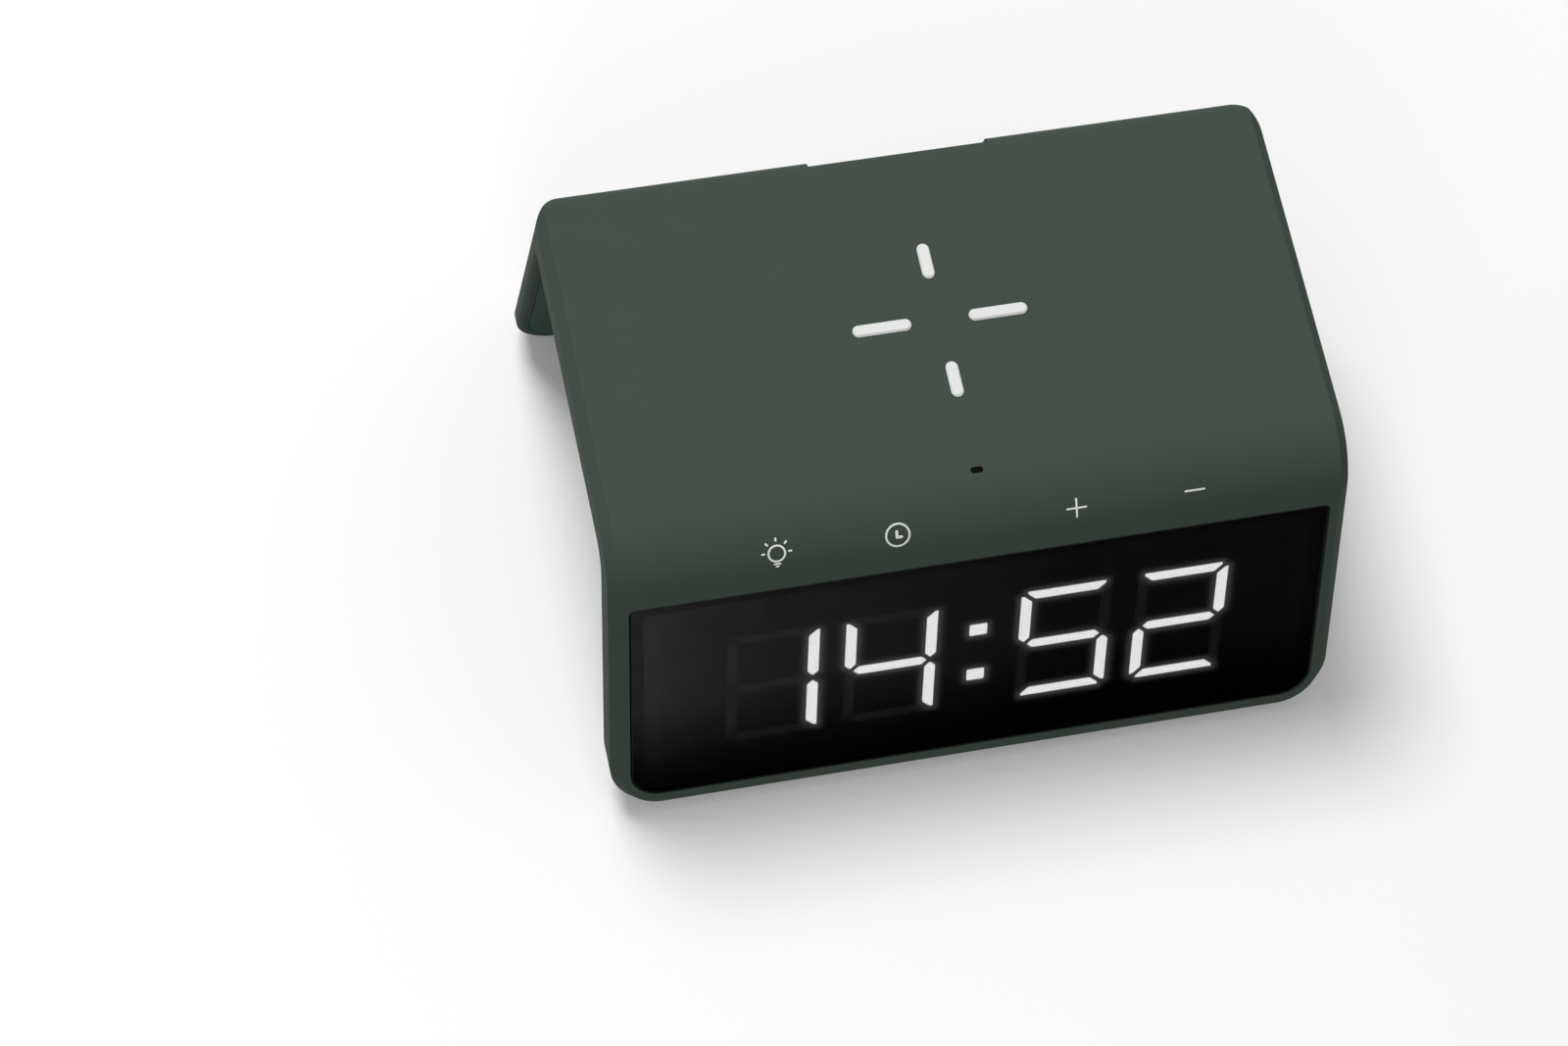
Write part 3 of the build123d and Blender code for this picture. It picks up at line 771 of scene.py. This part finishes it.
@dataclass
class KeyMarks:
    """White printed marks on the bend, one over each touch key."""

    body: BentBody
    angle: float = math.radians(46.0)
    bulb_x: float = -40.2 * MM
    clock_x: float = -16.8 * MM
    plus_x: float = 18.1 * MM
    minus_x: float = 41.4 * MM
    stroke: float = 0.39 * MM
    lift: float = 0.03 * MM
    sink: float = 0.05 * MM
    bar: float = 4.1 * MM
    bulb_ring: float = 1.60 * MM
    ray_reach: float = 2.58 * MM
    ray_length: float = 0.80 * MM
    ray_rise: float = 0.20 * MM
    ray_angles: tuple[float, ...] = tuple(math.radians(turn) for turn in (0, 45, 90, 135, 180))
    base_drop: float = 2.14 * MM
    base_step: float = 0.54 * MM
    base_width: float = 1.50 * MM
    tip_width: float = 0.75 * MM
    clock_ring: float = 2.27 * MM
    hand_stroke: float = 0.56 * MM
    hand_corner: tuple[float, float] = (-0.18 * MM, -0.41 * MM)
    hour_length: float = 1.16 * MM
    minute_length: float = 1.45 * MM
    samples: int = 28
    profile_samples: int = 12
    ring_samples: int = 64

    def ribbon(self, path: Array, half_width: Array) -> Array:
        """Print line: a low rounded profile, its lower half sunk in the bend, along a path.

        Args:
            path: X and height of the line's middle, in metres about the key.
            half_width: Half of the line's width at each point.

        Returns:
            Rows along the path and columns round the profile.
        """
        run = np.gradient(path, axis=0)
        run /= np.linalg.norm(run, axis=1, keepdims=True)
        side = np.stack([-run[:, 1], run[:, 0]], axis=1)
        turn = np.linspace(0.0, math.tau, self.profile_samples, endpoint=False)
        sine = np.sin(turn)
        height = np.where(sine > 0, self.lift * np.sqrt(np.abs(sine)), self.sink * sine)
        reach = half_width[:, None] * np.cos(turn)
        flat = path[:, None, :] + side[:, None, :] * reach[..., None]
        angle = self.angle - flat[..., 1] / self.body.bend_radius
        return self.body.on_bend(flat[..., 0], angle, height)

    def line(self, start: tuple[float, float], end: tuple[float, float], width: float) -> Array:
        """Straight line with round ends: its width follows a half circle at both ends.

        Args:
            start: First end, round end included.
            end: Second end, round end included.
            width: Width of the line.

        Returns:
            The line's grid.
        """
        first, last = np.array(start), np.array(end)
        length = np.linalg.norm(last - first)
        share = (1.0 - np.cos(np.linspace(0.0, math.pi, self.samples))) / 2.0
        half = width / 2.0
        ends = np.minimum(share, 1.0 - share) * length
        inside = np.clip(1.0 - ends / half, 0.0, 1.0)
        path = first + (last - first) * share[:, None]
        return self.ribbon(path, half * np.sqrt(1.0 - inside**2))

    def ring(self, radius: float, width: float) -> Array:
        """Closed circle about the key's middle.

        Args:
            radius: Radius of the line's middle.
            width: Width of the line.

        Returns:
            The circle's grid.
        """
        turn = np.linspace(0.0, math.tau, self.ring_samples, endpoint=False)
        wide = np.concatenate([turn[-1:] - math.tau, turn, turn[:1] + math.tau])
        path = radius * np.stack([np.cos(wide), np.sin(wide)], axis=1)
        return self.ribbon(path, np.full(len(wide), width / 2.0))[1:-1]

    def ray(self, angle: float) -> Array:
        """Short line that points away from the lamp's middle.

        Args:
            angle: Its direction, from plus X, in radians.

        Returns:
            The line's grid.
        """
        way = np.array([math.cos(angle), math.sin(angle)])
        center = way * self.ray_reach + np.array([0.0, self.ray_rise])
        half = way * self.ray_length / 2
        return self.line(tuple(center - half), tuple(center + half), self.stroke)

    def mark(self, name: str, place: float, lines: list[Array], rings: list[Array]) -> Piece:
        """One key's mark from its lines and rings, shifted to its place.

        Args:
            name: Name of the piece.
            place: X of the key.
            lines: Grids of the open lines.
            rings: Grids of the closed ones.

        Returns:
            The piece, not yet built.
        """
        piece = Piece(name, HOUSING, "grip", Look.PRINT)
        shift = np.array([place, 0.0, 0.0])
        for grid in lines:
            piece.add_grid(grid + shift, close_columns=True)
        for grid in rings:
            piece.add_grid(grid + shift, close_rows=True, close_columns=True)
        return piece

    def build(self, dresser: Dresser) -> None:
        """Builds the four marks: plus, minus, alarm and lamp.

        Args:
            dresser: Source of the materials.
        """
        half = self.bar / 2
        level = self.line((-half, 0.0), (half, 0.0), self.stroke)
        upright = self.line((0.0, -half), (0.0, half), self.stroke)
        self.mark("key_mark_plus", self.plus_x, [level, upright], []).build(dresser)
        self.mark("key_mark_minus", self.minus_x, [level], []).build(dresser)

        corner_x, corner_y = self.hand_corner
        overlap = self.hand_stroke / 2
        hour = ((corner_x - overlap, corner_y), (corner_x + self.hour_length, corner_y))
        minute = ((corner_x, corner_y - overlap), (corner_x, corner_y + self.minute_length))
        hands = [self.line(start, end, self.hand_stroke) for start, end in (hour, minute)]
        rings = [self.ring(self.clock_ring, self.stroke)]
        self.mark("key_mark_alarm", self.clock_x, hands, rings).build(dresser)

        lines = [self.ray(angle) for angle in self.ray_angles]
        tip_drop = self.base_drop + self.base_step
        for drop, width in ((self.base_drop, self.base_width), (tip_drop, self.tip_width)):
            lines.append(self.line((-width / 2, -drop), (width / 2, -drop), self.stroke))
        rings = [self.ring(self.bulb_ring, self.stroke)]
        self.mark("key_mark_lamp", self.bulb_x, lines, rings).build(dresser)


# Display front


@dataclass
class DisplayFront:
    """Smoked lens with eased edges, the print behind it and the light that spreads there.

    Tops and bottoms are measured down the front from the bend line, depths into the body, and the
    mask's two edges inwards from the lens's outline.
    """

    body: BentBody
    half_width: float = 68.53 * MM
    top: float = 13.0 * MM
    bottom: float = 64.38 * MM
    top_radius: float = 1.0 * MM
    bottom_radius: float = 6.1 * MM
    front_depth: float = 0.15 * MM
    back_depth: float = 1.15 * MM
    ease: float = 0.14 * MM
    ease_samples: int = 5
    corner_samples: int = 16
    mask_outer: float = 2.6 * MM
    mask_inner: float = 6.5 * MM
    mask_depth: float = 1.16 * MM
    mask_thickness: float = 0.02 * MM
    haze_half_width: float = 62.0 * MM
    haze_top: float = 19.0 * MM
    haze_bottom: float = 59.5 * MM
    haze_depth: float = 1.19 * MM
    haze_thickness: float = 0.03 * MM
    haze_pitch: float = 0.5 * MM
    glow_level: float = 0.25
    glow_width: float = 0.95 * MM
    glow_cutoff: float = 0.001
    facing: float = 0.99

    def outline(self, inset: float) -> Array:
        """Round-cornered outline: four quarter circles joined by straight lines.

        Args:
            inset: Distance that the outline is drawn in.

        Returns:
            X and distance down the front of the outline's points.
        """
        turn = np.linspace(0.0, math.pi / 2, self.corner_samples)
        reach = self.half_width - inset
        high, low = self.top + inset, self.bottom - inset
        radii = (self.top_radius, self.bottom_radius)
        small, large = (max(radius - inset, 0.0) for radius in radii)
        corners = [
            (reach - small, high + small, small, -math.pi / 2),
            (reach - large, low - large, large, 0.0),
            (-reach + large, low - large, large, math.pi / 2),
            (-reach + small, high + small, small, math.pi),
        ]
        x, y, radius, start = (np.array(part)[:, None] for part in zip(*corners))
        angle = start + turn
        points = np.stack([x + radius * np.cos(angle), y + radius * np.sin(angle)], axis=-1)
        return points.reshape(-1, 2)

    def ring(self, inset: float, depth: float) -> Array:
        """The outline drawn in by an inset, at a depth under the front."""
        flat = self.outline(inset)
        return self.body.on_front(flat[:, 0], flat[:, 1], np.array(depth))

    def lens(self, dresser: Dresser) -> None:
        """Lens: a flat sheet inside the rim, with straight sides.

        Args:
            dresser: Source of the materials.
        """
        piece = Piece("display_lens_sheet", HOUSING, "lens_plastic", Look.LENS)
        front, back = (self.ring(self.ease, depth) for depth in (self.front_depth, self.back_depth))
        piece.add_grid(np.stack([front, back]), close_columns=True)
        piece.add_cap(front)
        piece.add_cap(back[::-1])
        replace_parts(piece.build(dresser), "display_lens")

    def hoop(
        self, name: str, look: Look, steps: list[tuple[float, float]], dresser: Dresser
    ) -> None:
        """Builds a closed hoop: a profile of insets and depths carried round the outline.

        Args:
            name: Name of the piece.
            look: Its finish.
            steps: Inset and depth of each corner of the profile.
            dresser: Source of the materials.
        """
        piece = Piece(name, HOUSING, "lens_plastic", look)
        rings = np.stack([self.ring(*step) for step in steps])
        piece.add_grid(rings, close_rows=True, close_columns=True)
        piece.build(dresser)

    def rim(self, dresser: Dresser) -> None:
        """Eased edge of the lens: a quarter round drawn round the outline, with a flat back.

        Args:
            dresser: Source of the materials.
        """
        turn = np.linspace(0.0, math.pi / 2, self.ease_samples)
        insets = self.ease * (1.0 - np.sin(turn))
        depths = self.front_depth + self.ease * (1.0 - np.cos(turn))
        steps = [*zip(insets, depths), (0.0, self.back_depth), (self.ease, self.back_depth)]
        self.hoop("display_lens_rim", Look.RIM, steps, dresser)

    def mask(self, dresser: Dresser) -> None:
        """Black print behind the lens: a thin flat ring that hides the gap round the reflector.

        Args:
            dresser: Source of the materials.
        """
        front, back = self.mask_depth, self.mask_depth + self.mask_thickness
        outer, inner = self.mask_outer, self.mask_inner
        steps = [(outer, front), (inner, front), (inner, back), (outer, back)]
        self.hoop("display_lens_mask", Look.TAPE, steps, dresser)

    def lit_triangles(self) -> Array:
        """Front faces of the lit segments: those whose normal is nearly the front's.

        Returns:
            Triangles in X and the distance down the front.
        """
        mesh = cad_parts["lit_segments"].data
        mesh.calc_loop_triangles()
        points = np.empty(len(mesh.vertices) * 3)
        mesh.vertices.foreach_get("co", points)
        corners = np.empty(len(mesh.loop_triangles) * 3, dtype=np.int64)
        mesh.loop_triangles.foreach_get("vertices", corners)
        triangles = points.reshape(-1, 3)[corners.reshape(-1, 3)]
        normal = np.cross(triangles[:, 1] - triangles[:, 0], triangles[:, 2] - triangles[:, 0])
        normal /= np.linalg.norm(normal, axis=1, keepdims=True) + TINY
        outward = self.body.face_frame(Face.FRONT)[1][2]
        return self.body.to_front(triangles[normal @ outward > self.facing])

    @staticmethod
    def distance(points: Array, triangles: Array) -> Array:
        """Least distance of points from triangles: to the nearest edge point, or zero inside.

        Args:
            points: Array of points in two dimensions.
            triangles: Array of triangles in two dimensions.

        Returns:
            One distance for each point.
        """
        best = np.full(len(points), np.inf)
        for triangle in triangles:
            starts, ends = triangle, np.roll(triangle, -1, axis=0)
            edges = ends - starts
            offset = points[:, None, :] - starts
            along = np.clip((offset * edges).sum(-1) / ((edges**2).sum(-1) + TINY), 0.0, 1.0)
            gap = np.linalg.norm(offset - along[..., None] * edges, axis=-1).min(axis=1)
            turns = edges[:, 0] * offset[..., 1] - edges[:, 1] * offset[..., 0]
            inside = (turns >= 0).all(axis=1) | (turns <= 0).all(axis=1)
            best = np.minimum(best, np.where(inside, 0.0, gap))
        return best

    @staticmethod
    def border(grid: Array) -> Array:
        """Points round a grid's edge, in one turn."""
        return np.concatenate([grid[0, :-1], grid[:-1, -1], grid[-1, :0:-1], grid[:0:-1, 0]])

    def haze(self, dresser: Dresser) -> None:
        """Thin film of light: a bell curve of the distance from the lit segments.

        Args:
            dresser: Source of the materials.
        """
        columns = round(2 * self.haze_half_width / self.haze_pitch)
        rows = round((self.haze_bottom - self.haze_top) / self.haze_pitch)
        across = np.linspace(-self.haze_half_width, self.haze_half_width, columns)[None, :]
        down = np.linspace(self.haze_top, self.haze_bottom, rows)[:, None]
        flat = np.stack(np.broadcast_arrays(across, down), axis=-1)
        gap = self.distance(flat.reshape(-1, 2), self.lit_triangles())
        glow = self.glow_level * np.exp(-((gap / self.glow_width) ** 2))
        glow = np.where(glow > self.glow_cutoff, glow, 0.0)
        front = self.body.on_front(across, down, np.array(self.haze_depth))
        back = self.body.on_front(across, down, np.array(self.haze_depth + self.haze_thickness))
        rim = np.stack([self.border(front), self.border(back)])
        piece = Piece("display_haze_film", HOUSING, "lit_segment", Look.HAZE)
        piece.add_grid(front)
        piece.add_grid(back[::-1])
        piece.add_grid(rim, close_columns=True)
        unlit = rows * columns + rim.shape[0] * rim.shape[1]
        piece.values["glow"] = np.concatenate([glow, np.zeros(unlit)])
        piece.build(dresser, weld=False)

    def build(self, dresser: Dresser) -> None:
        """Builds the lens, its rim, the print behind it and the haze.

        Args:
            dresser: Source of the materials.
        """
        self.lens(dresser)
        self.rim(dresser)
        self.mask(dresser)
        self.haze(dresser)


# Fasteners and contacts


@dataclass
class CoverScrews:
    """Screws of the inner cover, with domed heads and cross recesses.

    Each place is given across and along its face and stands for a pair, left and right.
    """

    body: BentBody
    plate_places: Pairs = ((66.7 * MM, 24.0 * MM), (66.7 * MM, 66.2 * MM))
    front_place: tuple[float, float] = (66.7 * MM, -55.003 * MM)
    leg_place: tuple[float, float] = (55.0 * MM, -45.707 * MM)
    head_depth: float = 7.9 * MM
    head_height: float = 1.0 * MM
    head_radius: float = 2.0 * MM
    shank_radius: float = 1.0 * MM
    shank_length: float = 4.5 * MM
    recess_depth: float = 0.6 * MM
    recess_reach: float = 1.15 * MM
    recess_width: float = 0.24 * MM
    recess_slope: float = 0.10 * MM
    dome: float = 0.25 * MM
    turn_samples: int = 48
    top_samples: int = 26
    plain_rows: int = 4

    def shape(self) -> Array:
        """Turned profile: a parabola as the dome, then head and shank, with a cross pressed in.

        Returns:
            Rows along the profile and columns round the axis, drive face towards plus Z.
        """
        turn = np.linspace(0.0, math.tau, self.turn_samples, endpoint=False)
        top = np.linspace(0.0, 1.0, self.top_samples)
        top_height = self.head_height - self.dome * top**2
        shank_radius = [self.head_radius, self.shank_radius, self.shank_radius, 0.0]
        shank_height = [0.0, 0.0, -self.shank_length, -self.shank_length]
        radius = np.concatenate([self.head_radius * top, shank_radius])
        height = np.concatenate([top_height, shank_height])
        x = radius[:, None] * np.cos(turn)
        y = radius[:, None] * np.sin(turn)
        arms = np.maximum(self.arm(np.abs(x), np.abs(y)), self.arm(np.abs(y), np.abs(x)))
        row = np.arange(len(radius))[:, None]
        pressed = np.where(row < self.top_samples - self.plain_rows, arms, 0.0)
        return np.stack([x, y, height[:, None] - self.recess_depth * pressed], axis=-1)

    def arm(self, along: Array, across: Array) -> Array:
        """One bar of the cross: 1 inside, 0 outside, with a short slope between."""
        inside = np.minimum(self.recess_reach - along, self.recess_width - across)
        return np.clip(inside / self.recess_slope, 0.0, 1.0)

    def build(self, dresser: Dresser) -> None:
        """Builds all the screws as one piece in place of the plain ones.

        Args:
            dresser: Source of the materials.
        """
        piece = Piece("cover_screws", HOUSING, "steel", Look.STEEL)
        # Half a turn about X, so that the drive face looks into the body.
        half_turn = np.array([1.0, -1.0, -1.0])
        shape = self.shape() * half_turn
        places = [(Face.PLATE, place) for place in self.plate_places]
        places += [(Face.FRONT, self.front_place), (Face.LEG, self.leg_place)]
        for face, (across, along) in places:
            origin, axes = self.body.face_frame(face)
            for side in (-1.0, 1.0):
                seat = np.array([side * across, along, -self.head_depth])
                piece.add_grid(origin + (seat + shape) @ axes, close_columns=True)
        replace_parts(piece.build(dresser), "case_screws")


@dataclass
class InletContacts:
    """Gilded strips on both faces of the inlet's tongue.

    Shares are places along a strip, and swells the part of its full profile that it has there.
    """

    mouth: tuple[float, float, float] = (0.0, 44.947 * MM, 60.0 * MM)
    count: int = 12
    pitch: float = 0.5 * MM
    width: float = 0.27 * MM
    length: float = 3.2 * MM
    setback: float = 1.5 * MM
    tongue_half: float = 0.35 * MM
    thickness: float = 0.04 * MM
    shares: tuple[float, ...] = (0.0, 0.0, 0.04, 0.96, 1.0, 1.0)
    swells: tuple[float, ...] = (0.0, 0.6, 1.0, 1.0, 0.6, 0.0)
    profile_samples: int = 10

    def strip(self, center: float, side: float) -> Array:
        """One strip: an oval profile carried along its length, swelling from both ends.

        Args:
            center: X of the strip's middle line, from the mouth's middle.
            side: 1 for the tongue's upper face, -1 for the lower one.

        Returns:
            Rows along the strip and columns round the profile.
        """
        turn = np.linspace(0.0, math.tau, self.profile_samples, endpoint=False)
        share, swell = (np.array(part)[:, None] for part in (self.shares, self.swells))
        x = self.mouth[0] + center + swell * np.cos(turn) * self.width / 2
        y = self.mouth[1] - self.setback - share * self.length
        z = self.mouth[2] + side * (self.tongue_half + swell * np.sin(turn) * self.thickness)
        return np.stack(np.broadcast_arrays(x, y, z), axis=-1)

    def build(self, dresser: Dresser) -> None:
        """Builds every strip as one piece.

        Args:
            dresser: Source of the materials.
        """
        piece = Piece("inlet_contacts", HOUSING, "copper", Look.GOLD)
        centers = (np.arange(self.count) - (self.count - 1) / 2) * self.pitch
        for side in (-1.0, 1.0):
            for center in centers:
                piece.add_grid(self.strip(float(center), side), close_columns=True)
        piece.build(dresser)


# Studio


@dataclass(frozen=True)
class Lamp:
    """Round soft lamp that points at the clock, in metres and watts."""

    name: str
    place: tuple[float, float, float]
    size: float
    power: float

    def build(self) -> None:
        """Adds the lamp to the scene."""
        data = bpy.data.lights.new(self.name, "AREA")
        data.shape = "DISK"
        data.size = self.size
        data.energy = self.power
        lamp = bpy.data.objects.new(self.name, data)
        way = Vector(self.place)
        turn = way.to_track_quat("Z", "Y").to_matrix().to_4x4()
        lamp.matrix_world = Matrix.Translation(way) @ turn
        bpy.context.scene.collection.objects.link(lamp)


@dataclass
class Studio:
    """Floor, light and camera: angles in degrees, lens and sensor in millimetres."""

    azimuth: float = -22.831
    elevation: float = 64.263
    roll: float = -12.166
    distance: float = 988.83 * MM
    target: tuple[float, float, float] = (-34.639 * MM, -20.561 * MM, 45.0 * MM)
    lens: float = 118.551
    sensor: float = 36.0
    clip_start: float = 10.0 * MM
    floor_half: float = 4.0
    floor_drop: float = 0.1 * MM
    world_level: float = 0.30
    lamps: tuple[Lamp, ...] = (
        Lamp("key", place=(-0.32, 0.86, 1.54), size=0.75, power=24.0),
        Lamp("fill", place=(-0.22, -0.70, 0.22), size=0.4, power=1.6),
    )
    floor_color: Color = (0.90, 0.90, 0.90)
    floor_glow: float = 0.10
    floor_bounce: Color = (0.15, 0.15, 0.15)

    def camera(self) -> None:
        """Places the camera by a direction, a distance and a roll about the line of sight."""
        angles = (self.azimuth, self.elevation, self.roll)
        turn, rise, roll = (math.radians(angle) for angle in angles)
        flat = math.cos(rise)
        back = Vector((math.sin(turn) * flat, -math.cos(turn) * flat, math.sin(rise)))
        level = Vector((math.cos(turn), math.sin(turn), 0.0))
        upright = back.cross(level)
        up = upright * math.cos(roll) + level * math.sin(roll)
        right = up.cross(back)
        data = bpy.data.cameras.new("view")
        data.sensor_width = self.sensor
        data.sensor_fit = "HORIZONTAL"
        data.lens = self.lens
        data.clip_start = self.clip_start
        camera = bpy.data.objects.new("view", data)
        axes = Matrix((right, up, back)).transposed().to_4x4()
        place = Vector(self.target) + back * self.distance
        camera.matrix_world = Matrix.Translation(place) @ axes
        bpy.context.scene.collection.objects.link(camera)
        bpy.context.scene.camera = camera

    def world(self) -> None:
        """Even white light from all round, and plain white where the background is seen."""
        graph = Graph(bpy.data.worlds.new("tent"), "Background")
        strength = graph.seen() * (1.0 - self.world_level) + self.world_level
        bpy.context.scene.world = graph.finish(Color=opaque(WHITE), Strength=strength)

    def floor(self) -> None:
        """Floor that is seen white with the clock's shadow, and throws less light back."""
        span = np.array([-self.floor_half, self.floor_half])
        parts = (span[None, :], span[:, None], np.array(-self.floor_drop))
        points = np.stack(np.broadcast_arrays(*parts), axis=-1)
        quads = Piece.quads(*points.shape[:2], close_rows=False, close_columns=False)
        mesh = bpy.data.meshes.new("floor")
        mesh.from_pydata(points.reshape(-1, 3).tolist(), [], quads.tolist())
        graph = Graph.of_material("pale_floor")
        material = graph.finish(
            Base_Color=opaque(self.floor_color),
            Roughness=1.0,
            Specular_IOR_Level=0.0,
            Emission_Color=opaque(WHITE),
            Emission_Strength=self.floor_glow,
        )
        bounce = graph.node("ShaderNodeBsdfDiffuse", None, {"Color": opaque(self.floor_bounce)})
        white = Link(graph, graph.shader.outputs[0])
        mixed = graph.node("ShaderNodeMixShader", None, {0: graph.seen(), 1: bounce, 2: white})
        graph.feed(graph.tree.nodes["Material Output"], {"Surface": mixed})
        mesh.materials.append(material)
        floor = bpy.data.objects.new("floor", mesh)
        bpy.context.scene.collection.objects.link(floor)

    def build(self) -> None:
        """Sets up the whole studio."""
        bpy.context.scene.view_settings.view_transform = "Standard"
        self.camera()
        self.world()
        for lamp in self.lamps:
            lamp.build()
        self.floor()


def main() -> None:
    """Builds every piece and the studio in order."""
    logging.basicConfig(level=logging.INFO, format="%(name)s: %(message)s")
    dresser = Dresser()
    dresser.dress_nodes()
    body = BentBody()
    KeyMarks(body).build(dresser)
    DisplayFront(body).build(dresser)
    CoverScrews(body).build(dresser)
    InletContacts().build(dresser)
    Studio().build()


if __name__ == "__main__":
    main()
